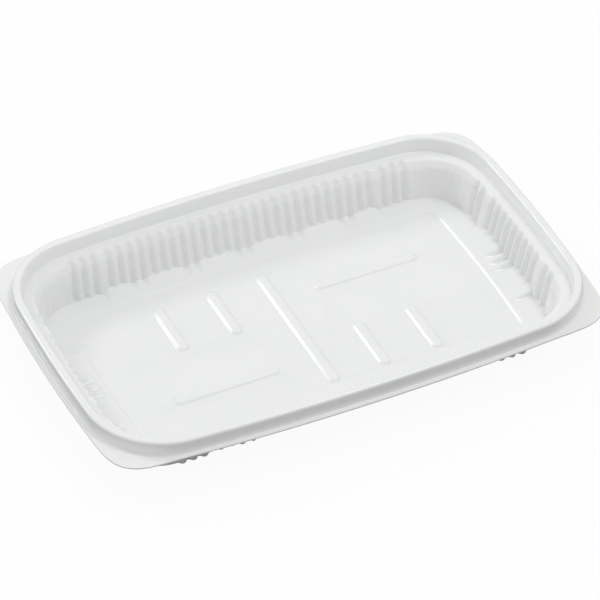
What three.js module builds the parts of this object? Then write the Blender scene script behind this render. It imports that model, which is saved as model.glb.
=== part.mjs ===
// Shallow rectangular takeaway tray, thermoformed in one piece from thin white plastic sheet.
// Millimetres, +Z up. X runs along the tray, Y across it, and Z = 0 is the underside of the
// floor panel, which the tray stands on.
import * as THREE from "three";

// Sheet
const SHEET = 0.6;

// Wall top, where the sloped wall meets the ledge, measured to the middle of each side
const WALL_TOP_HALF_LENGTH = 106.8;
const WALL_TOP_HALF_WIDTH = 64.8;
const LEDGE_HEIGHT = 20.2;

// Shoulder, where the wall bends over to the ledge: how far in from the wall top it lies in a
// groove, and how far below the ledge it lies in a groove and on a rib
const LONG_SIDE_SHOULDER_IN = 2.55;
const SHORT_SIDE_SHOULDER_IN = 1.1;
const LONG_SIDE_SHOULDER_DROP = 2;
const SHORT_SIDE_SHOULDER_DROP = 3.4;
const RIB_SHOULDER_DROP = 0.35;

// The rim and the panel bow outwards along each side, and the foot of the wall is straight: the
// ends of a side lie this much further in than its middle
const LONG_SIDE_BOW = 2.7;
const SHORT_SIDE_BOW = 0.9;

// A corner starts this far past the outermost groove of a side
const CORNER_MARGIN = 2.3;

// Rim, from the wall outwards
const LEDGE_WIDTH = 3.6;
const BEAD_HEIGHT = 6.6;
const BEAD_INNER_LEAN = 0.9;
const BEAD_TOP_WIDTH = 3.7;
const BEAD_OUTER_LEAN = 0.7;
const BEAD_EDGE_ROUND = 0.9;
const FLANGE_WIDTH = 2.2;
const FLANGE_ABOVE_LEDGE = 0.5;

// Corner shape: 2 is a plain ellipse, and a larger number gives a squarer corner
const WALL_CORNER_FULLNESS = 2;
const FLANGE_CORNER_FULLNESS = 4.3;

// Flutes of the wall: grooves pushed outwards, with plain ribs between them
const FLUTE_PITCH = 5;
const FLUTE_DEPTH = 1.8;
const GROOVE_MOUTH = 3.4;
const GROOVE_BOTTOM = 1.5;
const LONG_END_GAP = 7.2;
const SHORT_END_GAP = 9.2;
const LONG_END_GROOVES = 3;
const SHORT_END_GROOVES = 2;

// Runs of grooves on the plinth from the middle of a side outwards, turn about: open ones,
// which cut through the plinth to the foot of the wall, and covered ones, which stop on top of
// it. The long side has a rib in its middle, and the short side a groove.
const LONG_SIDE_RUNS = [1, 3, 2, 3, 2, 2];
const SHORT_SIDE_RUNS = [2, 3];
const LONG_FIRST_GROOVE = FLUTE_PITCH / 2;
const SHORT_FIRST_GROOVE = 0;

// Plinth along the foot of each wall, with its flat top and the slope at its end
const LONG_PLINTH_HEIGHT = 3.1;
const LONG_PLINTH_TOP = 0;
const LONG_PLINTH_OVERHANG = 3.4;
const LONG_PLINTH_END_RUN = 2.2;
const SHORT_PLINTH_HEIGHT = 3.8;
const SHORT_PLINTH_TOP = 2;
const SHORT_PLINTH_OVERHANG = 5;
const SHORT_PLINTH_END_RUN = 4;
const PLINTH_NOSE_DROP = 0.25;

// Foot of the wall along the groove bottoms, and the floor panel, which is stepped down
const FOOT_HALF_LENGTH = 102.3;
const FOOT_HALF_WIDTH = 56.8;
const FOOT_RISE = 0.2;
const FOOT_NOSE_DROP = 0.1;
const FOOT_EDGE = 0.3;
const BAND_ABOVE_PANEL = 0.8;
const BAND_WIDTH = 1.3;
const PANEL_HALF_LENGTH = 89.5;
const PANEL_HALF_WIDTH = 48.2;
const STEP_RUN = 0.9;

// Raised ribs of the floor panel
const RIB_HALF_WIDTH = 2.8;
const RIB_HEIGHT = 1;
const RIB_FLANK = 1.6;
const RIB_UNDERSIDE_INSET = 0.25;
const CENTRE_RIB_HALF_LENGTH = 38.6;
const CROSS_RIB_NEAR_END = 7;
const CROSS_RIB_FAR_END = 37.7;
const INNER_CROSS_RIB_X = 24.5;
const OUTER_CROSS_RIB_X = 49.7;
const LONG_RIB_Y = 20.8;
const LONG_RIB_NEAR_END = 18.4;
const LONG_RIB_FAR_END = 68;

// Faceting
const CORNER_STEPS = 8;
const LONG_SIDE_STEPS = 12;
const SHORT_SIDE_STEPS = 8;
const RIB_END_STEPS = 4;

const BAND_HEIGHT = SHEET + BAND_ABOVE_PANEL;
const FLANGE_HEIGHT = LEDGE_HEIGHT + FLANGE_ABOVE_LEDGE;
const BEAD_TOP = LEDGE_HEIGHT + BEAD_HEIGHT;
const QUARTER_TURN = Math.PI / 2;

// A quarter of the outline is half a short side, a corner and half a long side
const STRETCHES_IN_QUARTER = 3;
const STRETCHES_IN_TURN = 4 * STRETCHES_IN_QUARTER;

// Grooves of half a side, from its middle outwards, and the place of the last on the plinth.
function fluteLayout(firstGroove, runs, endGap, endGrooves) {
  const grooves = [];
  let at = firstGroove;
  for (const [i, count] of runs.entries()) {
    const covered = i % 2 === 1;
    for (let k = 0; k < count; k += 1) {
      grooves.push({ at, mouthOnPlinth: true, bottomOnPlinth: covered });
      at += FLUTE_PITCH;
    }
  }
  const lastOnPlinth = at - FLUTE_PITCH;
  for (let i = 0; i < endGrooves; i += 1) {
    const place = lastOnPlinth + endGap + i * FLUTE_PITCH;
    grooves.push({ at: place, mouthOnPlinth: false, bottomOnPlinth: false });
  }
  return { grooves, lastOnPlinth };
}

// A side of the tray: its flutes, and the sizes of its section at the middle of the side.
function makeSide(layout, sizes) {
  const outermost = layout.grooves[layout.grooves.length - 1].at;
  const plinthEnd = layout.lastOnPlinth + sizes.plinthOverhang;
  return { ...sizes, grooves: layout.grooves, plinthEnd, cornerAt: outermost + CORNER_MARGIN };
}

const longSide = makeSide(
  fluteLayout(LONG_FIRST_GROOVE, LONG_SIDE_RUNS, LONG_END_GAP, LONG_END_GROOVES),
  {
    wallTop: WALL_TOP_HALF_WIDTH,
    shoulder: WALL_TOP_HALF_WIDTH - LONG_SIDE_SHOULDER_IN,
    shoulderDrop: LONG_SIDE_SHOULDER_DROP,
    foot: FOOT_HALF_WIDTH,
    panel: PANEL_HALF_WIDTH,
    plinthHeight: LONG_PLINTH_HEIGHT,
    plinthTop: LONG_PLINTH_TOP,
    plinthOverhang: LONG_PLINTH_OVERHANG,
    plinthEndRun: LONG_PLINTH_END_RUN,
  },
);
const shortSide = makeSide(
  fluteLayout(SHORT_FIRST_GROOVE, SHORT_SIDE_RUNS, SHORT_END_GAP, SHORT_END_GROOVES),
  {
    wallTop: WALL_TOP_HALF_LENGTH,
    shoulder: WALL_TOP_HALF_LENGTH - SHORT_SIDE_SHOULDER_IN,
    shoulderDrop: SHORT_SIDE_SHOULDER_DROP,
    foot: FOOT_HALF_LENGTH,
    panel: PANEL_HALF_LENGTH,
    plinthHeight: SHORT_PLINTH_HEIGHT,
    plinthTop: SHORT_PLINTH_TOP,
    plinthOverhang: SHORT_PLINTH_OVERHANG,
    plinthEndRun: SHORT_PLINTH_END_RUN,
  },
);

// Distance of the groove bottoms from the middle of the tray at a height. They lean outwards
// in a straight line from the foot of the wall up to the shoulder.
function grooveLineAt(side, height) {
  const shoulderHeight = LEDGE_HEIGHT - side.shoulderDrop;
  const share = (height - BAND_HEIGHT) / (shoulderHeight - BAND_HEIGHT);
  return side.foot + share * (side.shoulder - side.foot);
}

// Upper face of the sheet in section, from the flange edge in to the floor panel.
// depth is 1 in a groove and 0 on a rib, and onPlinth says whether the plinth stands there.
function upperSection(side, depth, onPlinth) {
  const beadFoot = side.wallTop + LEDGE_WIDTH;
  const beadTopInner = beadFoot + BEAD_INNER_LEAN;
  const beadTopOuter = beadTopInner + BEAD_TOP_WIDTH;
  const beadBase = beadTopOuter + BEAD_OUTER_LEAN;
  const shoulderDrop = RIB_SHOULDER_DROP + depth * (side.shoulderDrop - RIB_SHOULDER_DROP);
  const shoulderHeight = LEDGE_HEIGHT - shoulderDrop;
  const footHeight = onPlinth ? side.plinthHeight : BAND_HEIGHT + FOOT_RISE;
  const foot = grooveLineAt(side, footHeight);
  const nose = foot - FLUTE_DEPTH - FOOT_EDGE - (onPlinth ? side.plinthTop : 0);
  const noseHeight = footHeight - (onPlinth ? PLINTH_NOSE_DROP : FOOT_NOSE_DROP);
  const ribInset = FLUTE_DEPTH * (1 - depth);
  const stepTop = side.panel + STEP_RUN / 2;
  return [
    { out: beadBase + FLANGE_WIDTH, z: FLANGE_HEIGHT },
    { out: beadBase, z: FLANGE_HEIGHT },
    { out: beadTopOuter, z: BEAD_TOP - BEAD_EDGE_ROUND },
    { out: beadTopOuter - BEAD_EDGE_ROUND, z: BEAD_TOP },
    { out: beadTopInner + BEAD_EDGE_ROUND, z: BEAD_TOP },
    { out: beadTopInner, z: BEAD_TOP - BEAD_EDGE_ROUND },
    { out: beadFoot, z: LEDGE_HEIGHT },
    { out: side.wallTop, z: LEDGE_HEIGHT },
    { out: grooveLineAt(side, shoulderHeight) - ribInset, z: shoulderHeight },
    { out: foot - ribInset, z: footHeight, straight: true },
    { out: nose, z: noseHeight, straight: true },
    { out: stepTop + BAND_WIDTH, z: BAND_HEIGHT },
    { out: stepTop, z: BAND_HEIGHT },
    { out: stepTop - STEP_RUN, z: SHEET },
  ];
}

// Lower face of the sheet: each point of the section moved one sheet thickness down and out,
// square to the two stretches that meet there.
function lowerSection(upper) {
  return upper.map((point, i) => {
    if (i === 0 || i === upper.length - 1) {
      return { out: point.out, z: point.z - SHEET };
    }
    const before = directionOf(upper[i - 1], point);
    const after = directionOf(point, upper[i + 1]);
    const mitre = 1 + before.out * after.out + before.z * after.z;
    return {
      ...point,
      out: point.out - (SHEET * (before.z + after.z)) / mitre,
      z: point.z + (SHEET * (before.out + after.out)) / mitre,
    };
  });
}

function directionOf(from, to) {
  const length = Math.hypot(to.out - from.out, to.z - from.z);
  return { out: (to.out - from.out) / length, z: (to.z - from.z) / length };
}

const FLANGE_EDGE_ROW = 0;
const WALL_TOP_ROW = 7;
const BAND_EDGE_ROW = 11;
const STEP_BOTTOM_ROW = 13;

// Places along a side or round a corner, for one quarter of the outline, from the middle of
// the short side round to the middle of the long side.
function plainStations() {
  const stations = [];
  for (let i = 0; i < SHORT_SIDE_STEPS / 2; i += 1) {
    stations.push({ kind: "short", at: (shortSide.cornerAt * i) / (SHORT_SIDE_STEPS / 2) });
  }
  stations.push(...cornerStations());
  for (let i = LONG_SIDE_STEPS / 2 - 1; i >= 0; i -= 1) {
    stations.push({ kind: "long", at: (longSide.cornerAt * i) / (LONG_SIDE_STEPS / 2) });
  }
  return stations;
}

function cornerStations() {
  const stations = [];
  for (let i = 0; i <= CORNER_STEPS; i += 1) {
    stations.push({ kind: "corner", at: (QUARTER_TURN * i) / CORNER_STEPS });
  }
  return stations;
}

// Places along half a side where the flutes and the end of the plinth change the section.
function fluteStations(kind, side) {
  const stations = [];
  for (const groove of side.grooves) {
    for (const hand of [-1, 1]) {
      const mouth = groove.at + (hand * GROOVE_MOUTH) / 2;
      const bottom = groove.at + (hand * GROOVE_BOTTOM) / 2;
      stations.push({ kind, at: mouth, depth: 0, onPlinth: groove.mouthOnPlinth });
      stations.push({ kind, at: bottom, depth: 1, onPlinth: groove.bottomOnPlinth });
    }
  }
  for (const hand of [-1, 1]) {
    const at = side.plinthEnd + (hand * side.plinthEndRun) / 2;
    stations.push({ kind, at, depth: 0, onPlinth: hand < 0 });
  }
  return stations.filter((station) => station.at > 0).sort((a, b) => a.at - b.at);
}

function flutedStations() {
  const alongShort = fluteStations("short", shortSide);
  const alongLong = fluteStations("long", longSide).reverse();
  return [...alongShort, ...cornerStations(), ...alongLong];
}

// One turn of the outline from the stations of a quarter, which every other quarter takes in
// reverse. The middle of a side belongs to the quarters that aren't reversed.
function fullTurn(quarter) {
  const offMiddle = quarter.filter((station) => station.kind === "corner" || station.at > 0);
  const reversed = [...offMiddle].reverse();
  return [[1, 1, quarter], [-1, 1, reversed], [-1, -1, quarter], [1, -1, reversed]].flatMap(
    ([signX, signY, stations], index) => stations.map(
      (station) => ({ ...station, signX, signY, order: orderOf(station, index) }),
    ),
  );
}

// A running number round the outline, which lets two rows of points be joined in step.
function orderOf(station, quarterIndex) {
  const share = {
    short: station.at / shortSide.cornerAt,
    corner: 1 + station.at / QUARTER_TURN,
    long: STRETCHES_IN_QUARTER - station.at / longSide.cornerAt,
  }[station.kind];
  const reversed = quarterIndex % 2 === 1;
  return STRETCHES_IN_QUARTER * (quarterIndex + Number(reversed)) + (reversed ? -share : share);
}

// How far a side has bowed in at a distance from its middle.
function longBow(x) {
  return LONG_SIDE_BOW * (x / longSide.cornerAt) ** 2;
}

function shortBow(y) {
  return SHORT_SIDE_BOW * (y / shortSide.cornerAt) ** 2;
}

// Point of the outline at a station, for a row whose half length and half width are given.
// bow is 1 for a row that bows with the sides and 0 for a straight one.
function outlinePoint(station, halfLength, halfWidth, fullness, bow) {
  let x = halfLength;
  let y = station.at;
  if (station.kind === "short") {
    x -= bow * shortBow(y);
  } else if (station.kind === "long") {
    x = station.at;
    y = halfWidth - bow * longBow(x);
  } else {
    const reachX = halfLength - longSide.cornerAt;
    const reachY = halfWidth - shortSide.cornerAt;
    const across = Math.cos(station.at);
    const along = Math.sin(station.at);
    const radius = ((across / reachX) ** fullness + (along / reachY) ** fullness) ** (-1 / fullness);
    x = longSide.cornerAt + radius * across;
    y = shortSide.cornerAt + radius * along;
    const bowedX = x - bow * shortBow(y) * across ** 2;
    const bowedY = y - bow * longBow(x) * along ** 2;
    x = bowedX;
    y = bowedY;
  }
  return [station.signX * x, station.signY * y];
}

// One closed row of points on the upper or the lower face.
function ring(stations, row, face) {
  const fullness = row === FLANGE_EDGE_ROW ? FLANGE_CORNER_FULLNESS : WALL_CORNER_FULLNESS;
  return stations.map((station) => {
    const depth = station.depth ?? 0;
    const onPlinth = station.onPlinth ?? false;
    const across = face(upperSection(shortSide, depth, onPlinth))[row];
    const along = face(upperSection(longSide, depth, onPlinth))[row];
    const bow = across.straight ? 0 : 1;
    const [x, y] = outlinePoint(station, across.out, along.out, fullness, bow);
    const turned = station.kind === "corner" ? Math.sin(station.at) ** 2 : Number(station.kind === "long");
    return { x, y, z: across.z + turned * (along.z - across.z), order: station.order };
  });
}

// Collects points and triangles of one closed body.
class Shell {
  constructor() {
    this.positions = [];
    this.triangles = [];
  }

  add(points) {
    return points.map((point) => {
      this.positions.push(point.x, point.y, point.z);
      return { index: this.positions.length / 3 - 1, order: point.order };
    });
  }

  face(a, b, c, flipped) {
    this.triangles.push(...(flipped ? [a, c, b] : [a, b, c]));
  }

  // Joins two closed rows with a strip of triangles, in step with their running numbers.
  strip(outer, inner, flipped) {
    const orderAt = (row, i) => row[i % row.length].order + STRETCHES_IN_TURN * Math.floor(i / row.length);
    let i = 0;
    let j = 0;
    while (i < outer.length || j < inner.length) {
      const takeOuter = j >= inner.length
        || (i < outer.length && orderAt(outer, i + 1) + orderAt(outer, i)
          <= orderAt(inner, j + 1) + orderAt(inner, j));
      const a = outer[i % outer.length].index;
      const b = inner[j % inner.length].index;
      if (takeOuter) {
        i += 1;
        this.face(a, outer[i % outer.length].index, b, flipped);
      } else {
        j += 1;
        this.face(a, inner[j % inner.length].index, b, flipped);
      }
    }
  }

  // Fills a flat outline that may have holes.
  fill(outline, holes, flipped) {
    const all = [outline, ...holes].flat();
    const place = (vertex) => this.positions.slice(3 * vertex.index, 3 * vertex.index + 2);
    const flat = (row) => row.map((vertex) => new THREE.Vector2(...place(vertex)));
    for (const [a, b, c] of THREE.ShapeUtils.triangulateShape(flat(outline), holes.map(flat))) {
      this.face(all[a].index, all[b].index, all[c].index, flipped);
    }
  }

  geometry() {
    const geometry = new THREE.BufferGeometry();
    geometry.setAttribute("position", new THREE.Float32BufferAttribute(this.positions, 3));
    geometry.setIndex(this.triangles);
    geometry.computeVertexNormals();
    return geometry;
  }
}

// The floor ribs: the middle of each, and half its length along X or Y.
function floorRibs() {
  const crossMiddle = (CROSS_RIB_NEAR_END + CROSS_RIB_FAR_END) / 2;
  const crossHalf = (CROSS_RIB_FAR_END - CROSS_RIB_NEAR_END) / 2;
  const longMiddle = (LONG_RIB_NEAR_END + LONG_RIB_FAR_END) / 2;
  const longHalf = (LONG_RIB_FAR_END - LONG_RIB_NEAR_END) / 2;
  const ribs = [{ x: 0, y: 0, halfLength: CENTRE_RIB_HALF_LENGTH, along: "y" }];
  for (const hand of [-1, 1]) {
    for (const distance of [INNER_CROSS_RIB_X, OUTER_CROSS_RIB_X]) {
      ribs.push({ x: hand * distance, y: -hand * crossMiddle, halfLength: crossHalf, along: "y" });
    }
    ribs.push({ x: hand * longMiddle, y: hand * LONG_RIB_Y, halfLength: longHalf, along: "x" });
  }
  return ribs;
}

// Round-ended outline of a floor rib, counter-clockwise seen from above.
function ribOutline(rib, halfWidth, z) {
  const straight = rib.halfLength - RIB_HALF_WIDTH;
  const points = [];
  for (const end of [1, -1]) {
    for (let i = 0; i <= RIB_END_STEPS; i += 1) {
      const angle = -QUARTER_TURN + (Math.PI * i) / RIB_END_STEPS;
      const lengthwise = end * (straight + halfWidth * Math.cos(angle));
      const sideways = end * halfWidth * Math.sin(angle);
      const x = rib.along === "x" ? lengthwise : -sideways;
      const y = rib.along === "x" ? sideways : lengthwise;
      points.push({ x: rib.x + x, y: rib.y + y, z, order: points.length });
    }
  }
  return points;
}

// The floor panel of one face of the sheet, with its ribs.
function addPanel(shell, edge, panelHeight, inset, flipped) {
  const holes = [];
  for (const rib of floorRibs()) {
    const foot = shell.add(ribOutline(rib, RIB_HALF_WIDTH - inset, panelHeight));
    const crest = shell.add(ribOutline(rib, RIB_HALF_WIDTH - RIB_FLANK - inset, panelHeight + RIB_HEIGHT));
    shell.strip(foot, crest, flipped);
    shell.fill(crest, [], flipped);
    holes.push(foot);
  }
  shell.fill(edge, holes, flipped);
}

// One face of the sheet: rim, ledge, fluted wall, foot band and panel.
function addFace(shell, face, panelHeight, ribInset, flipped) {
  const plain = fullTurn(plainStations());
  const fluted = fullTurn(flutedStations());
  const rows = [];
  for (let row = FLANGE_EDGE_ROW; row <= STEP_BOTTOM_ROW; row += 1) {
    const isFluted = row >= WALL_TOP_ROW && row <= BAND_EDGE_ROW;
    rows.push(shell.add(ring(isFluted ? fluted : plain, row, face)));
  }
  for (let row = 1; row < rows.length; row += 1) {
    shell.strip(rows[row - 1], rows[row], flipped);
  }
  addPanel(shell, rows[STEP_BOTTOM_ROW], panelHeight, ribInset, flipped);
  return rows[FLANGE_EDGE_ROW];
}

function whiteFormedPlastic() {
  return new THREE.MeshStandardMaterial({ color: 0xf1f2f2, roughness: 0.38, metalness: 0 });
}

function buildTray() {
  const shell = new Shell();
  const upperEdge = addFace(shell, (section) => section, SHEET, 0, false);
  const lowerEdge = addFace(shell, lowerSection, 0, RIB_UNDERSIDE_INSET, true);
  shell.strip(lowerEdge, upperEdge, false);
  const tray = new THREE.Mesh(shell.geometry(), whiteFormedPlastic());
  tray.name = "tray";
  return tray;
}

const group = new THREE.Group();
group.add(buildTray());

export default group;
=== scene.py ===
"""White thermoformed takeaway tray, seen as in a plain product shot on a white ground.

The tray is one formed sheet: flange with corner tabs, hollow bead, ledge, fluted walls with a
plinth low on each, foot band and a ribbed floor panel. Its fine surface is built here, from
close to the same sizes as the CAD solid that it stands for.
"""
import logging
import math
from dataclasses import dataclass, field
from enum import Enum, IntEnum

import bpy
import numpy as np
from mathutils import Matrix, Vector
from mathutils.geometry import tessellate_polygon


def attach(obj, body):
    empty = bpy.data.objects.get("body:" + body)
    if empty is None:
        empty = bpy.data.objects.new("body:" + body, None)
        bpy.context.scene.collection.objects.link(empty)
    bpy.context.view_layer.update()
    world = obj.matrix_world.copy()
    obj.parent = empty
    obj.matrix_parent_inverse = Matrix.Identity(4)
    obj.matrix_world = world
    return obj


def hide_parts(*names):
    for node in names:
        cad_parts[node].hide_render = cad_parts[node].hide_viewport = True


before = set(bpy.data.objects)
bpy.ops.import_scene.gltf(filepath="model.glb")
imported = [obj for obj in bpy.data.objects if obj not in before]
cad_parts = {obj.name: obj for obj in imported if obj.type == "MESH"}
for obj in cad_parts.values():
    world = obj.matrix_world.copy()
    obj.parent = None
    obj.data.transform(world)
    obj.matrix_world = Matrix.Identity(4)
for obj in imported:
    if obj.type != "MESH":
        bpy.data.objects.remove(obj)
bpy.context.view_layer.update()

MM = 0.001
LOG = logging.getLogger("takeaway_tray")

# Share of the side's bow that a point of the section takes.
BOWED = 1.0
STRAIGHT = 0.0

# A bend takes at least this many mm of each stretch beside it, and at most this share of it.
SHORTEST_BEND_REACH = 0.05
LONGEST_BEND_SHARE = 0.48

# The sRGB curve is straight up to its knee and a power above it.
SRGB_KNEE = 0.04045
SRGB_SLOPE = 12.92
SRGB_OFFSET = 0.055
SRGB_POWER = 2.4

WHITE = (1.0, 1.0, 1.0, 1.0)


class Stretch(Enum):
    """Which stretch of the outline a column of the mesh lies on."""

    SHORT = "short side"
    CORNER = "corner"
    LONG = "long side"


class Face(Enum):
    """The two faces of the formed sheet."""

    UPPER = "inside of the tray"
    LOWER = "underside of the tray"


class MixSocket(IntEnum):
    """Places of a Mix node's colour sockets, whose names other sockets share."""

    FACTOR = 0
    FIRST = 6
    SECOND = 7
    RESULT = 2


@dataclass(frozen=True)
class GrooveRun:
    """Grooves of half a side, from its middle outwards, in mm.

    Attributes:
        first: place of the groove nearest the middle.
        counts: grooves in each run, open and covered turn about, open first.
        end_gap: pitch from the last covered groove to the first of the end group.
        end_count: grooves in the end group, which is open.
    """

    first: float
    counts: tuple[int, ...]
    end_gap: float
    end_count: int


@dataclass(frozen=True)
class SideSizes:
    """Sizes of one pair of sides, in mm.

    Attributes:
        wall_top: half size of the tray at the top of the wall, at the side's middle.
        foot: half size at the foot of the wall.
        panel: half size of the floor panel.
        bow: how far the side bows out from a straight line.
        shoulder_in: how far the groove line starts inside the wall's top.
        shoulder_drop: how far below the ledge the groove line starts.
        cap_in: how far the flat cap of a rib runs in from the wall's top.
        plinth_height: height of the plinth's top.
        plinth_nose: how far the plinth stands out beyond the ribs.
        plinth_end_overhang: how far the plinth runs past its last groove.
        plinth_end_run: length over which the plinth's end falls.
        grooves: the grooves of half a side.
    """

    wall_top: float
    foot: float
    panel: float
    bow: float
    shoulder_in: float
    shoulder_drop: float
    cap_in: float
    plinth_height: float
    plinth_nose: float
    plinth_end_overhang: float
    plinth_end_run: float
    grooves: GrooveRun


@dataclass(frozen=True)
class RimSizes:
    """Section of the rim, from the wall outwards, in mm.

    The two fullness values are exponents of the corner's curve, 2 for an ellipse.
    """

    ledge_height: float = 20.2
    ledge_width: float = 3.6
    bead_height: float = 6.6
    bead_inner_lean: float = 0.9
    bead_top: float = 3.7
    bead_outer_lean: float = 0.7
    flange_width: float = 2.2
    flange_above_ledge: float = 0.5
    flange_corner_fullness: float = 4.3
    wall_corner_fullness: float = 2.0


@dataclass(frozen=True)
class WallSizes:
    """Fluted wall, plinth and foot band, in mm.

    Attributes:
        pitch: distance between the grooves of a run.
        flute_depth: how far a rib stands out of the groove line.
        groove_reach: half width of a groove.
        cut_reach: half width of the cut that an open groove makes in the plinth.
        groove_top_in: how far a groove's head lies inside the wall's top.
        groove_top_drop: how far a groove's head lies below the ledge.
        cap_drop: fall of a rib's cap from the ledge to its edge.
        bend_drop: how far below the ledge the wall gets its full slope.
        nose_drop: fall of the plinth's top to its edge.
        foot_edge: how far the foot stands out beyond the ribs.
        foot_rise: height of the ribs' foot above the band.
        band_width: width of the flat band round the floor panel.
        band_above_panel: height of the band above the floor panel.
        step_run: width of the slope from the band to the panel.
        panel_margin: flat rim of the panel that still belongs to the shell.
    """

    pitch: float = 5.0
    flute_depth: float = 1.8
    groove_reach: float = 2.35
    cut_reach: float = 2.0
    groove_top_in: float = 0.6
    groove_top_drop: float = 1.0
    cap_drop: float = 0.3
    bend_drop: float = 3.4
    nose_drop: float = 0.15
    foot_edge: float = 0.3
    foot_rise: float = 0.2
    band_width: float = 1.3
    band_above_panel: float = 0.8
    step_run: float = 1.1
    panel_margin: float = 1.4


@dataclass(frozen=True)
class Bend:
    """Rounding of one corner of the section.

    Attributes:
        radius: radius of the bend, in mm.
        arc_steps: steps that the bend is split into.
        straight_steps: steps of the straight stretch that follows it.
    """

    radius: float
    arc_steps: int
    straight_steps: int


@dataclass(frozen=True)
class SectionBends:
    """Bends of the section, from the flange's edge to the floor panel."""

    flange_edge: Bend = Bend(0.0, 0, 2)
    bead_base: Bend = Bend(0.5, 2, 3)
    bead_top_outer: Bend = Bend(1.3, 5, 2)
    bead_top_inner: Bend = Bend(1.1, 5, 2)
    bead_foot: Bend = Bend(0.6, 3, 2)
    ledge_edge: Bend = Bend(0.5, 2, 1)
    flute_head: Bend = Bend(0.8, 3, 2)
    wall_bend: Bend = Bend(3.0, 3, 5)
    wall_foot: Bend = Bend(0.8, 3, 1)
    plinth_nose: Bend = Bend(0.5, 2, 3)
    band_edge: Bend = Bend(0.4, 2, 1)
    step_top: Bend = Bend(0.25, 2, 1)
    step_foot: Bend = Bend(0.35, 2, 1)
    panel_edge: Bend = Bend(0.0, 0, 0)


@dataclass(frozen=True)
class Column:
    """One column of the mesh: where it stands on the outline, and what its section holds.

    Attributes:
        stretch: the stretch of the outline.
        at: distance from the side's middle in mm, or the angle in a corner in radians.
        groove: 0 on a rib, 1 in a groove.
        plinth: 1 on the plinth, 0 off it.
    """

    stretch: Stretch
    at: float
    groove: float = 0.0
    plinth: float = 0.0


def smooth_step(value: float, low: float, high: float) -> float:
    """Eases a value between two limits.

    Args:
        value: the value.
        low: where the share is 0.
        high: where the share is 1.

    Returns:
        The eased share, from 0 to 1.
    """
    share = min(max((value - low) / (high - low), 0.0), 1.0)
    return share * share * (3 - 2 * share)


def unit(vectors: np.ndarray) -> np.ndarray:
    """Scales vectors to length 1.

    Args:
        vectors: array whose last axis holds the vectors.

    Returns:
        Array of the same shape.
    """
    return vectors / np.linalg.norm(vectors, axis=-1, keepdims=True)


@dataclass
class FluteLayout:
    """Places of the grooves and the plinth along half a side."""

    side: SideSizes
    wall: WallSizes
    open_grooves: list[float] = field(default_factory=list)
    covered_grooves: list[float] = field(default_factory=list)
    plinth_end: float = 0.0

    def __post_init__(self) -> None:
        """Lays the grooves out from the middle of the side to its end."""
        pitch = self.wall.pitch
        run = self.side.grooves
        at = run.first
        for index, count in enumerate(run.counts):
            covered = index % 2 == 1
            places = [at + k * pitch for k in range(count)]
            if covered:
                self.covered_grooves += places
            else:
                self.open_grooves += places
            at += count * pitch
        last = at - pitch
        self.plinth_end = last + self.side.plinth_end_overhang
        start = last + run.end_gap
        self.open_grooves += [start + k * pitch for k in range(run.end_count)]

    def end(self) -> float:
        """Finds the end of the flutes.

        Returns:
            The place of the outermost groove, in mm.
        """
        return max(self.open_grooves)

    def groove_at(self, place: float) -> float:
        """Finds how deep the flutes are at a place.

        Args:
            place: distance from the side's middle, in mm.

        Returns:
            A share from 0 on a rib to 1 in a groove.
        """
        reach = self.wall.groove_reach
        nearest = min(abs(abs(place) - g) for g in self.open_grooves + self.covered_grooves)
        return 0.5 + 0.5 * math.cos(math.pi * nearest / reach) if nearest < reach else 0.0

    def plinth_at(self, place: float) -> float:
        """Finds how much of the plinth stands at a place.

        Args:
            place: distance from the side's middle, in mm.

        Returns:
            A share of 1 on the plinth and 0 off it, eased at its end and in each open groove.
        """
        half = self.side.plinth_end_run / 2
        share = 1 - smooth_step(place, self.plinth_end - half, self.plinth_end + half)
        for groove in self.open_grooves:
            away = abs(abs(place) - groove) / self.wall.cut_reach
            if away < 1:
                share *= 1 - (0.5 + 0.5 * math.cos(math.pi * away))
        return share


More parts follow.
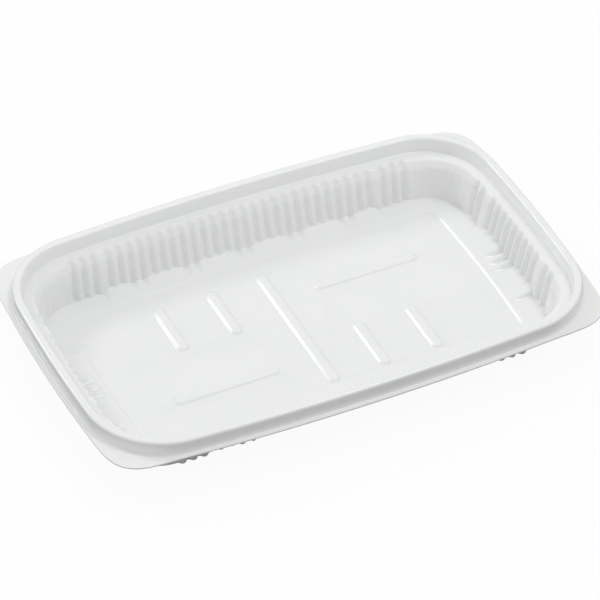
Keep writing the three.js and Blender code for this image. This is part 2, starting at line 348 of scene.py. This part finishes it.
@dataclass
class TrayShell:
    """The tray from its flange to the rim of the floor panel.

    Attributes:
        sheet: thickness of the sheet, in mm.
        rim: sizes of the rim.
        wall: sizes of the wall.
        bends: bends of the section.
        long_side: sizes of the two long sides.
        short_side: sizes of the two short sides.
        corner_margin: length from the last groove to the start of the corner, in mm.
        column_step: length of the outline between two columns, in mm.
        corner_columns: steps of the mesh in each corner.
        corner_ripples: faint ripples in each corner's wall.
        corner_ripple_depth: their depth, as a share of the flutes' depth.
    """

    sheet: float = 0.6
    rim: RimSizes = RimSizes()
    wall: WallSizes = WallSizes()
    bends: SectionBends = SectionBends()
    long_side: SideSizes = SideSizes(
        wall_top=64.8, foot=56.8, panel=48.2, bow=2.7,
        shoulder_in=2.55, shoulder_drop=2.0, cap_in=2.4,
        plinth_height=3.1, plinth_nose=0.0, plinth_end_overhang=3.4, plinth_end_run=2.2,
        grooves=GrooveRun(first=2.5, counts=(1, 3, 2, 3, 2, 2), end_gap=7.2, end_count=3),
    )
    short_side: SideSizes = SideSizes(
        wall_top=106.8, foot=102.3, panel=89.5, bow=0.9,
        shoulder_in=1.1, shoulder_drop=3.4, cap_in=1.3,
        plinth_height=3.8, plinth_nose=2.0, plinth_end_overhang=5.0, plinth_end_run=1.5,
        grooves=GrooveRun(first=0.0, counts=(2, 3), end_gap=9.2, end_count=2),
    )
    corner_margin: float = 2.3
    column_step: float = 0.66
    corner_columns: int = 60
    corner_ripples: int = 10
    corner_ripple_depth: float = 0.16

    def __post_init__(self) -> None:
        """Lays out the flutes and finds where the corners start."""
        self.long_flutes = FluteLayout(self.long_side, self.wall)
        self.short_flutes = FluteLayout(self.short_side, self.wall)
        self.corner_x = self.long_flutes.end() + self.corner_margin
        self.corner_y = self.short_flutes.end() + self.corner_margin

    def side_columns(self, stretch: Stretch) -> list[Column]:
        """Lays out the columns of half a side.

        Args:
            stretch: the long or the short side.

        Returns:
            The columns, from the side's middle outwards.
        """
        is_long = stretch is Stretch.LONG
        layout = self.long_flutes if is_long else self.short_flutes
        end = self.corner_x if is_long else self.corner_y
        count = round(end / self.column_step)
        places = [end * i / count for i in range(count)]
        return [Column(stretch, p, layout.groove_at(p), layout.plinth_at(p)) for p in places]

    def quarter_columns(self) -> list[Column]:
        """Lays out the columns of a quarter of the outline.

        Returns:
            The columns, from the middle of the short side to that of the long side.
        """
        corner = []
        for i in range(self.corner_columns + 1):
            share = i / self.corner_columns
            ripple = 0.5 - 0.5 * math.cos(2 * math.pi * self.corner_ripples * share)
            depth = self.corner_ripple_depth * ripple * math.sin(math.pi * share) ** 2
            corner.append(Column(Stretch.CORNER, math.pi / 2 * share, depth))
        short = self.side_columns(Stretch.SHORT)
        return short + corner + self.side_columns(Stretch.LONG)[::-1]

    def all_columns(self) -> tuple[list[Column], np.ndarray]:
        """Lays out the columns of the whole outline.

        Returns:
            The columns, and an array of (column, 2) with the signs of X and Y.
        """
        quarter = self.quarter_columns()
        inner = [c for c in quarter if c.stretch is Stretch.CORNER or c.at > 0]
        turns = [
            ((1, 1), quarter),
            ((-1, 1), inner[::-1]),
            ((-1, -1), quarter),
            ((1, -1), inner[::-1]),
        ]
        columns = [c for _, part in turns for c in part]
        signs = [sign for sign, part in turns for _ in part]
        return columns, np.array(signs, dtype=float)

    def section(self, side: SideSizes, columns: list[Column]) -> np.ndarray:
        """Works out the rounded section of the upper face for every column.

        Args:
            side: sizes of the pair of sides whose section it is.
            columns: columns of the mesh.

        Returns:
            Array of (column, row, 3): distance from the tray's middle and height, in mm, and
            the share of the side's bow that the point takes.
        """
        rim, wall, bends = self.rim, self.wall, self.bends
        groove = np.array([c.groove for c in columns])
        plinth = np.array([c.plinth for c in columns])
        rib = 1 - groove
        band = self.sheet + wall.band_above_panel
        flange = rim.ledge_height + rim.flange_above_ledge
        bead_top = rim.ledge_height + rim.bead_height
        bead_foot = side.wall_top + rim.ledge_width
        top_inner = bead_foot + rim.bead_inner_lean
        top_outer = top_inner + rim.bead_top
        bead_base = top_outer + rim.bead_outer_lean

        line_top = rim.ledge_height - side.shoulder_drop
        lean = (side.wall_top - side.shoulder_in - side.foot) / (line_top - band)
        head_out = side.wall_top - groove * wall.groove_top_in - rib * side.cap_in
        head_z = rim.ledge_height - groove * wall.groove_top_drop - rib * wall.cap_drop
        bend_z = rim.ledge_height - wall.bend_drop
        bend_out = side.foot + lean * (bend_z - band) - rib * wall.flute_depth
        bend_bow = min((bend_z - band) / (line_top - band), BOWED)

        rise = side.plinth_height - band - wall.foot_rise
        foot_z = band + wall.foot_rise + plinth * rise
        foot_line = side.foot + lean * (foot_z - band)
        foot_out = foot_line - rib * wall.flute_depth
        nose_out = foot_line - wall.flute_depth - wall.foot_edge - plinth * side.plinth_nose
        nose_z = foot_z - wall.foot_rise / 2 - plinth * wall.nose_drop
        step_top = side.panel + wall.step_run / 2
        step_foot = side.panel - wall.step_run / 2

        points = [
            (bends.flange_edge, bead_base + rim.flange_width, flange, BOWED),
            (bends.bead_base, bead_base, flange, BOWED),
            (bends.bead_top_outer, top_outer, bead_top, BOWED),
            (bends.bead_top_inner, top_inner, bead_top, BOWED),
            (bends.bead_foot, bead_foot, rim.ledge_height, BOWED),
            (bends.ledge_edge, side.wall_top, rim.ledge_height, BOWED),
            (bends.flute_head, head_out, head_z, BOWED),
            (bends.wall_bend, bend_out, bend_z, bend_bow),
            (bends.wall_foot, foot_out, foot_z, STRAIGHT),
            (bends.plinth_nose, nose_out, nose_z, STRAIGHT),
            (bends.band_edge, step_top + wall.band_width, band, BOWED),
            (bends.step_top, step_top, band, BOWED),
            (bends.step_foot, step_foot, self.sheet, BOWED),
            (bends.panel_edge, side.panel - wall.panel_margin, self.sheet, BOWED),
        ]
        control = [
            np.stack(np.broadcast_arrays(*place, groove)[:3], axis=-1) for _, *place in points
        ]
        return rounded_section(np.stack(control, axis=1), [bend for bend, *_ in points])

    def outline(self, columns: list[Column], signs: np.ndarray, across: np.ndarray,
                along: np.ndarray, bow: np.ndarray, fullness: float) -> np.ndarray:
        """Places rows on the tray's bowed outline.

        Args:
            columns: columns of the mesh.
            signs: signs of X and Y for each column.
            across: half lengths along X for each column and row, in mm.
            along: half widths along Y for each column and row, in mm.
            bow: share of the side's bow for each column and row.
            fullness: exponent of the corner, 2 for an ellipse.

        Returns:
            Array of (column, row, 2) with X and Y in mm.
        """
        places = np.array([c.at for c in columns])[:, None]
        kinds = np.array([c.stretch.value for c in columns])[:, None]
        turn = np.where(kinds == Stretch.CORNER.value, places, 0.0)
        cosine, sine = np.cos(turn), np.sin(turn)
        reach_x, reach_y = across - self.corner_x, along - self.corner_y
        radius = ((cosine / reach_x) ** fullness + (sine / reach_y) ** fullness) ** (-1 / fullness)
        corner_x = self.corner_x + radius * cosine
        corner_y = self.corner_y + radius * sine
        x = np.select([kinds == Stretch.SHORT.value, kinds == Stretch.LONG.value],
                      [across, places + 0 * across], corner_x)
        y = np.select([kinds == Stretch.SHORT.value, kinds == Stretch.LONG.value],
                      [places + 0 * across, along], corner_y)
        share_x = np.where(kinds == Stretch.LONG.value, 0.0, cosine**2)
        share_y = np.select([kinds == Stretch.LONG.value, kinds == Stretch.SHORT.value],
                            [1.0, 0.0], sine**2)
        bowed_x = x - bow * self.short_side.bow * (y / self.corner_y) ** 2 * share_x
        bowed_y = y - bow * self.long_side.bow * (x / self.corner_x) ** 2 * share_y
        return np.stack([bowed_x * signs[:, :1], bowed_y * signs[:, 1:]], axis=-1)

    def upper_grid(self) -> np.ndarray:
        """Works out the upper face.

        Returns:
            Array of (column, row, 3) in mm.
        """
        columns, signs = self.all_columns()
        short = self.section(self.short_side, columns)
        long = self.section(self.long_side, columns)
        rim = self.rim
        rows = (short[..., 0], long[..., 0], short[..., 2])
        plain = self.outline(columns, signs, *rows, rim.wall_corner_fullness)
        tabbed = self.outline(columns, signs, *rows, rim.flange_corner_fullness)
        crease = short[..., 0].max(axis=1, keepdims=True) - rim.flange_width
        on_flange = np.clip((short[..., 0] - crease) / rim.flange_width, 0.0, 1.0)[..., None]
        place = plain + on_flange * (tabbed - plain)
        turned = np.array([
            math.sin(c.at) ** 2 if c.stretch is Stretch.CORNER else float(c.stretch is Stretch.LONG)
            for c in columns
        ])[:, None]
        height = short[..., 1] + turned * (long[..., 1] - short[..., 1])
        return np.concatenate([place, height[..., None]], axis=-1)

    def lower_grid(self, upper: np.ndarray) -> np.ndarray:
        """Works out the lower face, one sheet thickness below the upper one along its normal.

        Args:
            upper: the upper face, an array of (column, row, 3) in mm.

        Returns:
            Array of the same shape.
        """
        round_tray = np.roll(upper, -1, axis=0) - np.roll(upper, 1, axis=0)
        down_section = np.gradient(upper, axis=1)
        normal = unit(np.cross(round_tray, down_section))
        normal[:, 0] = (0.0, 0.0, 1.0)
        normal[:, -1] = (0.0, 0.0, 1.0)
        return upper - self.sheet * normal


def rounded_section(control: np.ndarray, bends: list[Bend]) -> np.ndarray:
    """Rounds the corners of a section and splits it into rows.

    Args:
        control: array of (column, point, 3), the sharp section of every column: distance
            outwards, height and share of the bow.
        bends: the bend at each point.

    Returns:
        Array of (column, row, 3).
    """
    rows = [control[:, 0]]
    following = bends[0].straight_steps
    for index in range(1, control.shape[1] - 1):
        bend = bends[index]
        point = control[:, index]
        before = control[:, index - 1] - point
        after = control[:, index + 1] - point
        lengths = [np.linalg.norm(v[:, :2], axis=-1, keepdims=True) for v in (before, after)]
        before, after = before / lengths[0], after / lengths[1]
        cosine = np.clip(np.sum(before[:, :2] * after[:, :2], axis=-1), -1.0, 1.0)
        half_angle = 0.5 * np.arccos(cosine)
        room = LONGEST_BEND_SHARE * np.minimum(*lengths)[:, 0]
        wanted = np.maximum(bend.radius / np.tan(half_angle), SHORTEST_BEND_REACH)
        reach = np.minimum(wanted, room)[:, None]
        weight = np.sin(half_angle)[:, None]
        start, end = point + before * reach, point + after * reach
        last = rows[-1]
        rows += [last + (start - last) * step / following for step in range(1, following)]
        for step in range(bend.arc_steps + 1):
            t = step / bend.arc_steps
            shares = ((1 - t) ** 2, 2 * weight * t * (1 - t), t**2)
            total = shares[0] + shares[1] + shares[2]
            rows.append((shares[0] * start + shares[1] * point + shares[2] * end) / total)
        following = bend.straight_steps
    last, final = rows[-1], control[:, -1]
    rows += [last + (final - last) * step / following for step in range(1, following + 1)]
    return np.stack(rows, axis=1)


@dataclass(frozen=True)
class FloorRib:
    """A raised, round-ended rib of the floor panel, in mm."""

    x: float
    y: float
    half_length: float
    along_x: bool


@dataclass
class FloorPanel:
    """The floor panel's ribs, in mm.

    Attributes:
        half_width: half width of a rib.
        foot_spread: how far the rib's foot spreads beyond that.
        crest_half_width: half width of its flat crest.
        height: height of a rib above the panel.
        centre_half_length: half length of the rib in the middle.
        cross_near: distance of the cross ribs' near ends from the lengthwise middle line.
        cross_far: distance of their far ends.
        inner_cross_x: distance of the inner cross ribs from the middle.
        outer_cross_x: distance of the outer cross ribs from the middle.
        long_y: distance of the lengthwise ribs from the lengthwise middle line.
        long_near: distance of their near ends from the middle.
        long_far: distance of their far ends.
        end_steps: steps of each round end.
        profile_steps: steps of the rib's flank.
        underside_inset: how much narrower the rib is on the underside.
    """

    half_width: float = 2.8
    foot_spread: float = 0.3
    crest_half_width: float = 1.6
    height: float = 0.9
    centre_half_length: float = 38.6
    cross_near: float = 7.0
    cross_far: float = 37.7
    inner_cross_x: float = 24.5
    outer_cross_x: float = 49.7
    long_y: float = 20.8
    long_near: float = 18.4
    long_far: float = 68.0
    end_steps: int = 14
    profile_steps: int = 9
    underside_inset: float = 0.25

    def ribs(self) -> list[FloorRib]:
        """Lays out the ribs, which have half-turn symmetry.

        Returns:
            The seven ribs.
        """
        cross_y = (self.cross_near + self.cross_far) / 2
        cross_half = (self.cross_far - self.cross_near) / 2
        long_x = (self.long_near + self.long_far) / 2
        long_half = (self.long_far - self.long_near) / 2
        ribs = [FloorRib(0.0, 0.0, self.centre_half_length, False)]
        for hand in (-1, 1):
            for distance in (self.inner_cross_x, self.outer_cross_x):
                ribs.append(FloorRib(hand * distance, -hand * cross_y, cross_half, False))
            ribs.append(FloorRib(hand * long_x, hand * self.long_y, long_half, True))
        return ribs

    def profile(self) -> list[tuple[float, float]]:
        """Works out the rib's flank, from its foot to its crest.

        Returns:
            Distances from the rib's middle line and heights above the panel.
        """
        foot = self.half_width + self.foot_spread
        points = []
        for i in range(self.profile_steps + 1):
            share = i / self.profile_steps
            eased = (share + smooth_step(share, 0.0, 1.0)) / 2
            points.append((foot + (self.crest_half_width - foot) * share, self.height * eased))
        return points

    def outline(self, rib: FloorRib, half_width: float, height: float) -> np.ndarray:
        """Works out one closed round-ended row of a rib.

        Args:
            rib: the rib.
            half_width: distance of the row from the rib's middle line, in mm.
            height: height of the row, in mm.

        Returns:
            Array of (point, 3) in mm, counter-clockwise from above.
        """
        straight = rib.half_length - self.half_width
        row = []
        for end in (1, -1):
            for i in range(self.end_steps + 1):
                angle = math.pi * (i / self.end_steps - 0.5)
                lengthwise = end * (straight + half_width * math.cos(angle))
                sideways = end * half_width * math.sin(angle)
                shift = (lengthwise, sideways) if rib.along_x else (-sideways, lengthwise)
                row.append((rib.x + shift[0], rib.y + shift[1], height))
        return np.array(row)


@dataclass
class SheetMesh:
    """Collects the vertices and faces of the formed sheet."""

    vertices: list[np.ndarray] = field(default_factory=list)
    faces: list[tuple[int, ...]] = field(default_factory=list)
    count: int = 0

    def add(self, points: np.ndarray) -> np.ndarray:
        """Adds points.

        Args:
            points: array whose last axis holds X, Y and Z, in mm.

        Returns:
            Their indices, in the same layout.
        """
        flat = points.reshape(-1, 3)
        self.vertices.append(flat)
        indices = np.arange(self.count, self.count + len(flat)).reshape(points.shape[:-1])
        self.count += len(flat)
        return indices

    def bridge(self, outer: np.ndarray, inner: np.ndarray, face: Face) -> None:
        """Joins two closed rows that have as many points with a band of quads.

        Args:
            outer: indices of the outer row.
            inner: indices of the inner row.
            face: which face of the sheet it is.
        """
        for a, b, c, d in zip(outer, np.roll(outer, -1), np.roll(inner, -1), inner):
            quad = (a, b, c, d) if face is Face.UPPER else (a, d, c, b)
            self.faces.append(tuple(int(i) for i in quad))

    def fill(self, edge: np.ndarray, holes: list[np.ndarray], face: Face) -> None:
        """Fills a flat outline with triangles.

        Args:
            edge: indices of the outline.
            holes: indices of each hole's outline.
            face: which face of the sheet it is.
        """
        everything = np.concatenate(self.vertices)
        loops = [edge, *holes]
        flat = np.concatenate(loops)
        polygon = [[Vector(everything[i]) for i in loop] for loop in loops]
        for triangle in tessellate_polygon(polygon):
            a, b, c = (int(flat[i]) for i in triangle)
            pa, pb, pc = everything[a], everything[b], everything[c]
            turn = (pb[0] - pa[0]) * (pc[1] - pa[1]) - (pb[1] - pa[1]) * (pc[0] - pa[0])
            if (turn > 0) != (face is Face.UPPER):
                b, c = c, b
            self.faces.append((a, b, c))

    def build(self, name: str, sharp_degrees: float) -> bpy.types.Object:
        """Makes the mesh an object, in metres.

        Args:
            name: name of the object and its mesh.
            sharp_degrees: edges that turn more than this are drawn sharp.

        Returns:
            The object.
        """
        mesh = bpy.data.meshes.new(name)
        points = np.concatenate(self.vertices) * MM
        mesh.from_pydata(points.tolist(), [], self.faces)
        mesh.polygons.foreach_set("use_smooth", [True] * len(mesh.polygons))
        mesh.set_sharp_from_angle(angle=math.radians(sharp_degrees))
        mesh.validate()
        piece = bpy.data.objects.new(name, mesh)
        bpy.context.collection.objects.link(piece)
        return piece


def linear_colour(hex_code: str) -> tuple[float, float, float, float]:
    """Turns an sRGB hex colour to linear light.

    Args:
        hex_code: the colour, such as "#F5F5F4".

    Returns:
        Linear RGBA.
    """
    values = [int(hex_code[i:i + 2], 16) / 255 for i in (1, 3, 5)]
    linear = [
        v / SRGB_SLOPE if v <= SRGB_KNEE else ((v + SRGB_OFFSET) / (1 + SRGB_OFFSET)) ** SRGB_POWER
        for v in values
    ]
    return (*linear, 1.0)


def add_node(tree: bpy.types.NodeTree, kind: str, settings: dict | None = None,
             links: dict | None = None) -> bpy.types.Node:
    """Adds a shader node with its settings and incoming links.

    Args:
        tree: the node tree.
        kind: the node's type name.
        settings: property names, input names or input places with their values.
        links: input names or places with the output sockets that feed them.

    Returns:
        The node.
    """
    node = tree.nodes.new(kind)
    for key, value in (settings or {}).items():
        if isinstance(key, int) or key in node.inputs:
            node.inputs[key].default_value = value
        else:
            setattr(node, key, value)
    for key, socket in (links or {}).items():
        tree.links.new(socket, node.inputs[key])
    return node


@dataclass(frozen=True)
class ThermoformedPolypropylene:
    """White polypropylene sheet, drawn hot into a mould.

    The sheet has a soft satin gloss from the rolled stock, a faint mist of fine grain from
    the mould face, and slow waves where it cooled, so highlights are broad and slightly uneven.

    Attributes:
        colour: the sheet's colour.
        thin_colour: its colour where it is drawn a little thinner.
        ior: index of refraction.
        roughness_low: roughness where the grain is smooth.
        roughness_high: roughness where the grain is coarse.
        grain_low: grain value that counts as smooth.
        grain_high: grain value that counts as coarse.
        cloud_mm: size of the thinner places.
        cloud_detail: finer layers of their noise.
        wave_mm: size of the slow waves.
        wave_detail: finer layers of their noise.
        wave_height_mm: height of the waves.
        wave_strength: how strongly they tilt the surface.
        grain_mm: size of the grain.
        grain_detail: finer layers of its noise.
        grain_height_mm: height of the grain.
        grain_strength: how strongly it tilts the surface.
        haze_weight: share of the light that scatters inside the sheet.
        haze_mm: how far that light travels.
    """

    colour: str = "#F5F5F4"
    thin_colour: str = "#EFF1F1"
    ior: float = 1.49
    roughness_low: float = 0.16
    roughness_high: float = 0.24
    grain_low: float = 0.3
    grain_high: float = 0.7
    cloud_mm: float = 30.0
    cloud_detail: float = 3.0
    wave_mm: float = 14.0
    wave_detail: float = 1.0
    wave_height_mm: float = 0.5
    wave_strength: float = 0.25
    grain_mm: float = 0.5
    grain_detail: float = 2.0
    grain_height_mm: float = 0.02
    grain_strength: float = 0.1
    haze_weight: float = 0.05
    haze_mm: float = 1.0

    def material(self) -> bpy.types.Material:
        """Makes the finish.

        Returns:
            The material, made of nodes.
        """
        material = bpy.data.materials.new("white_thermoformed_polypropylene")
        material.use_nodes = True
        tree = material.node_tree
        tree.nodes.clear()
        place = add_node(tree, "ShaderNodeTexCoord").outputs["Object"]
        cloud = self.noise(tree, place, self.cloud_mm, self.cloud_detail)
        grain = self.noise(tree, place, self.grain_mm, self.grain_detail)
        wave = self.noise(tree, place, self.wave_mm, self.wave_detail)
        colour = add_node(
            tree, "ShaderNodeMix",
            {"data_type": "RGBA", MixSocket.FIRST: linear_colour(self.colour),
             MixSocket.SECOND: linear_colour(self.thin_colour)},
            {MixSocket.FACTOR: cloud},
        )
        gloss = add_node(
            tree, "ShaderNodeMapRange",
            {"From Min": self.grain_low, "From Max": self.grain_high,
             "To Min": self.roughness_low, "To Max": self.roughness_high},
            {"Value": grain},
        )
        slow = add_node(
            tree, "ShaderNodeBump",
            {"Strength": self.wave_strength, "Distance": self.wave_height_mm * MM},
            {"Height": wave},
        )
        fine = add_node(
            tree, "ShaderNodeBump",
            {"Strength": self.grain_strength, "Distance": self.grain_height_mm * MM},
            {"Height": grain, "Normal": slow.outputs["Normal"]},
        )
        shader = add_node(
            tree, "ShaderNodeBsdfPrincipled",
            {"IOR": self.ior, "Subsurface Weight": self.haze_weight,
             "Subsurface Scale": self.haze_mm * MM},
            {"Base Color": colour.outputs[MixSocket.RESULT],
             "Roughness": gloss.outputs["Result"], "Normal": fine.outputs["Normal"]},
        )
        add_node(tree, "ShaderNodeOutputMaterial", None, {"Surface": shader.outputs["BSDF"]})
        return material

    def noise(self, tree: bpy.types.NodeTree, place: bpy.types.NodeSocket, size_mm: float,
              detail: float) -> bpy.types.NodeSocket:
        """Adds a noise.

        Args:
            tree: the node tree.
            place: socket of the coordinates.
            size_mm: about how far across the noise's cells are.
            detail: how many finer layers it has.

        Returns:
            The socket of its value.
        """
        node = add_node(tree, "ShaderNodeTexNoise",
                        {"Scale": 1 / (size_mm * MM), "Detail": detail}, {"Vector": place})
        return node.outputs["Fac"]


@dataclass
class Tray:
    """The tray piece: its shell, its floor panel and its finish.

    Attributes:
        shell: the tray from its flange to the floor panel.
        panel: the floor panel.
        finish: the sheet's finish.
        sharp_degrees: edges that turn more than this are drawn sharp.
    """

    shell: TrayShell
    panel: FloorPanel
    finish: ThermoformedPolypropylene
    sharp_degrees: float = 42.0

    def build(self) -> bpy.types.Object:
        """Builds the closed sheet and gives it its finish.

        Returns:
            The object.
        """
        mesh = SheetMesh()
        upper = self.shell.upper_grid()
        lower = self.shell.lower_grid(upper)
        edges = {}
        for face, grid, floor, inset in (
            (Face.UPPER, upper, self.shell.sheet, 0.0),
            (Face.LOWER, lower, 0.0, self.panel.underside_inset),
        ):
            indices = mesh.add(grid)
            for row in range(indices.shape[1] - 1):
                mesh.bridge(indices[:, row], indices[:, row + 1], face)
            self.add_floor(mesh, indices[:, -1], floor, inset, face)
            edges[face] = indices[:, 0]
        mesh.bridge(edges[Face.LOWER], edges[Face.UPPER], Face.UPPER)
        piece = mesh.build("tray_sheet", self.sharp_degrees)
        piece.data.materials.append(self.finish.material())
        return piece

    def add_floor(self, mesh: SheetMesh, edge: np.ndarray, floor: float, inset: float,
                  face: Face) -> None:
        """Adds one face of the floor panel with its ribs.

        Args:
            mesh: the sheet being built.
            edge: indices of the row where the panel starts.
            floor: height of the panel's face, in mm.
            inset: how much narrower the rib is on this face, in mm.
            face: which face of the sheet it is.
        """
        holes = []
        for rib in self.panel.ribs():
            rows = [
                mesh.add(self.panel.outline(rib, half_width - inset, floor + height))
                for half_width, height in self.panel.profile()
            ]
            for outer, inner in zip(rows, rows[1:]):
                mesh.bridge(outer, inner, face)
            mesh.fill(rows[-1], [], face)
            holes.append(rows[0])
        mesh.fill(edge, holes, face)


@dataclass(frozen=True)
class SoftBox:
    """A square lamp aimed at the tray.

    Attributes:
        name: the lamp's name.
        place: where it stands, in metres.
        size: side of its square, in metres.
        watts: its power.
    """

    name: str
    place: tuple[float, float, float]
    size: float
    watts: float

    def build(self) -> None:
        """Makes the lamp."""
        data = bpy.data.lights.new(self.name, "AREA")
        data.shape = "SQUARE"
        data.size = self.size
        data.energy = self.watts
        lamp = bpy.data.objects.new(self.name, data)
        bpy.context.collection.objects.link(lamp)
        lamp.location = self.place
        lamp.rotation_euler = (-Vector(self.place)).to_track_quat("-Z", "Y").to_euler()


@dataclass(frozen=True)
class Studio:
    """White ground, soft light and the camera of the shot.

    Attributes:
        azimuth: the camera's turn about the tray, in degrees.
        elevation: its height above the tray, in degrees.
        roll: its lean to one side, in degrees.
        distance_mm: its distance from the tray.
        shift_right_mm: how far it stands to its right of the line to the tray's middle.
        shift_up_mm: how far it stands above that line.
        floor_top_mm: height of the point that the line goes to.
        lens_mm: focal length.
        sensor_mm: side of the square sensor.
        clip_end_m: how far the camera sees.
        ground_half_m: half side of the ground.
        ground_drop_mm: how far the ground lies below the tray.
        ground_glow: share of the ground's white that is even and takes no shadow.
        paper_bright: paper tone that the camera sees.
        paper_dim: paper tone that lights the tray from below.
        room_bright: strength of the surround that the camera sees.
        room_dim: strength of the surround that lights the tray.
        lamps: the one at the back glints on the flanks of the floor's ribs and step, the one
            overhead brightens the caps of the wall's ribs.
    """

    azimuth: float = -25.828
    elevation: float = 41.107
    roll: float = 0.332
    distance_mm: float = 1858.2
    shift_right_mm: float = 1.04
    shift_up_mm: float = 12.1
    floor_top_mm: float = 0.6
    lens_mm: float = 259.06
    sensor_mm: float = 36.0
    clip_end_m: float = 20.0
    ground_half_m: float = 4.0
    ground_drop_mm: float = 0.05
    ground_glow: float = 0.94
    paper_bright: float = 0.95
    paper_dim: float = 0.25
    room_bright: float = 1.0
    room_dim: float = 0.71
    lamps: tuple[SoftBox, ...] = (
        SoftBox("back_left_soft_box", (-0.63, 0.95, 0.81), 0.24, 3.1),
        SoftBox("overhead_soft_box", (0.45, 0.03, 1.28), 0.25, 3.0),
    )

    def camera(self) -> bpy.types.Object:
        """Makes the camera, a long lens high on the tray's left front.

        Returns:
            The camera.
        """
        turn, rise = math.radians(self.azimuth), math.radians(self.elevation)
        back = Vector((
            math.sin(turn) * math.cos(rise), -math.cos(turn) * math.cos(rise), math.sin(rise)
        ))
        right = Vector((0, 0, 1)).cross(back).normalized()
        up = back.cross(right)
        lean = math.radians(self.roll)
        right, up = (
            math.cos(lean) * right + math.sin(lean) * up,
            math.cos(lean) * up - math.sin(lean) * right,
        )
        data = bpy.data.cameras.new("shot_camera")
        data.lens = self.lens_mm
        data.sensor_width = self.sensor_mm
        data.sensor_height = self.sensor_mm
        data.clip_end = self.clip_end_m
        camera = bpy.data.objects.new("shot_camera", data)
        bpy.context.collection.objects.link(camera)
        place = (
            back * self.distance_mm + right * self.shift_right_mm + up * self.shift_up_mm
        ) * MM
        place.z += self.floor_top_mm * MM
        turned = Matrix((right, up, back)).transposed().to_4x4()
        camera.matrix_world = Matrix.Translation(place) @ turned
        bpy.context.scene.camera = camera
        return camera

    def floor(self) -> bpy.types.Object:
        """Makes the white ground, which stays white to the camera but keeps the shadow.

        Returns:
            The ground.
        """
        mesh = bpy.data.meshes.new("white_ground")
        half = self.ground_half_m
        mesh.from_pydata([(-half, -half, 0), (half, -half, 0), (half, half, 0), (-half, half, 0)],
                         [], [(0, 1, 2, 3)])
        ground = bpy.data.objects.new("white_ground", mesh)
        bpy.context.collection.objects.link(ground)
        ground.location.z = -self.ground_drop_mm * MM
        mesh.materials.append(self.paper())
        return ground

    def paper(self) -> bpy.types.Material:
        """Makes the ground's white paper.

        Returns:
            The material, made of nodes.
        """
        material = bpy.data.materials.new("white_studio_paper")
        material.use_nodes = True
        tree = material.node_tree
        tree.nodes.clear()
        seen = add_node(tree, "ShaderNodeLightPath").outputs["Is Camera Ray"]
        share = add_node(tree, "ShaderNodeMath", {"operation": "MULTIPLY", 1: self.ground_glow},
                         {0: seen})
        tone = add_node(tree, "ShaderNodeMapRange",
                        {"To Min": self.paper_dim, "To Max": self.paper_bright},
                        {"Value": seen})
        paper = add_node(tree, "ShaderNodeBsdfDiffuse", None, {"Color": tone.outputs["Result"]})
        glow = add_node(tree, "ShaderNodeEmission", {"Color": WHITE, "Strength": 1.0})
        mix = add_node(tree, "ShaderNodeMixShader", None,
                       {0: share.outputs[0], 1: paper.outputs[0], 2: glow.outputs[0]})
        add_node(tree, "ShaderNodeOutputMaterial", None, {"Surface": mix.outputs[0]})
        return material

    def world(self) -> None:
        """Sets a white surround for the eye and a dimmer one for the light."""
        world = bpy.data.worlds.new("soft_room")
        bpy.context.scene.world = world
        world.use_nodes = True
        tree = world.node_tree
        tree.nodes.clear()
        path = add_node(tree, "ShaderNodeLightPath").outputs
        seen = add_node(tree, "ShaderNodeMath", {"operation": "MAXIMUM"},
                        {0: path["Is Camera Ray"], 1: path["Is Transmission Ray"]})
        strength = add_node(tree, "ShaderNodeMapRange",
                            {"To Min": self.room_dim, "To Max": self.room_bright},
                            {"Value": seen.outputs[0]})
        sky = add_node(tree, "ShaderNodeBackground", {"Color": WHITE},
                       {"Strength": strength.outputs["Result"]})
        add_node(tree, "ShaderNodeOutputWorld", None, {"Surface": sky.outputs[0]})

    def build(self) -> None:
        """Builds the whole studio."""
        bpy.context.scene.view_settings.view_transform = "Standard"
        self.world()
        for lamp in self.lamps:
            lamp.build()
        self.floor()
        self.camera()


def main() -> None:
    """Builds the tray and the studio."""
    logging.basicConfig(level=logging.INFO)
    tray = Tray(TrayShell(), FloorPanel(), ThermoformedPolypropylene()).build()
    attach(tray, "root")
    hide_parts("tray")
    LOG.info("tray sheet: %d faces", len(tray.data.polygons))
    Studio().build()
    LOG.info("studio ready")


if __name__ == "__main__":
    main()
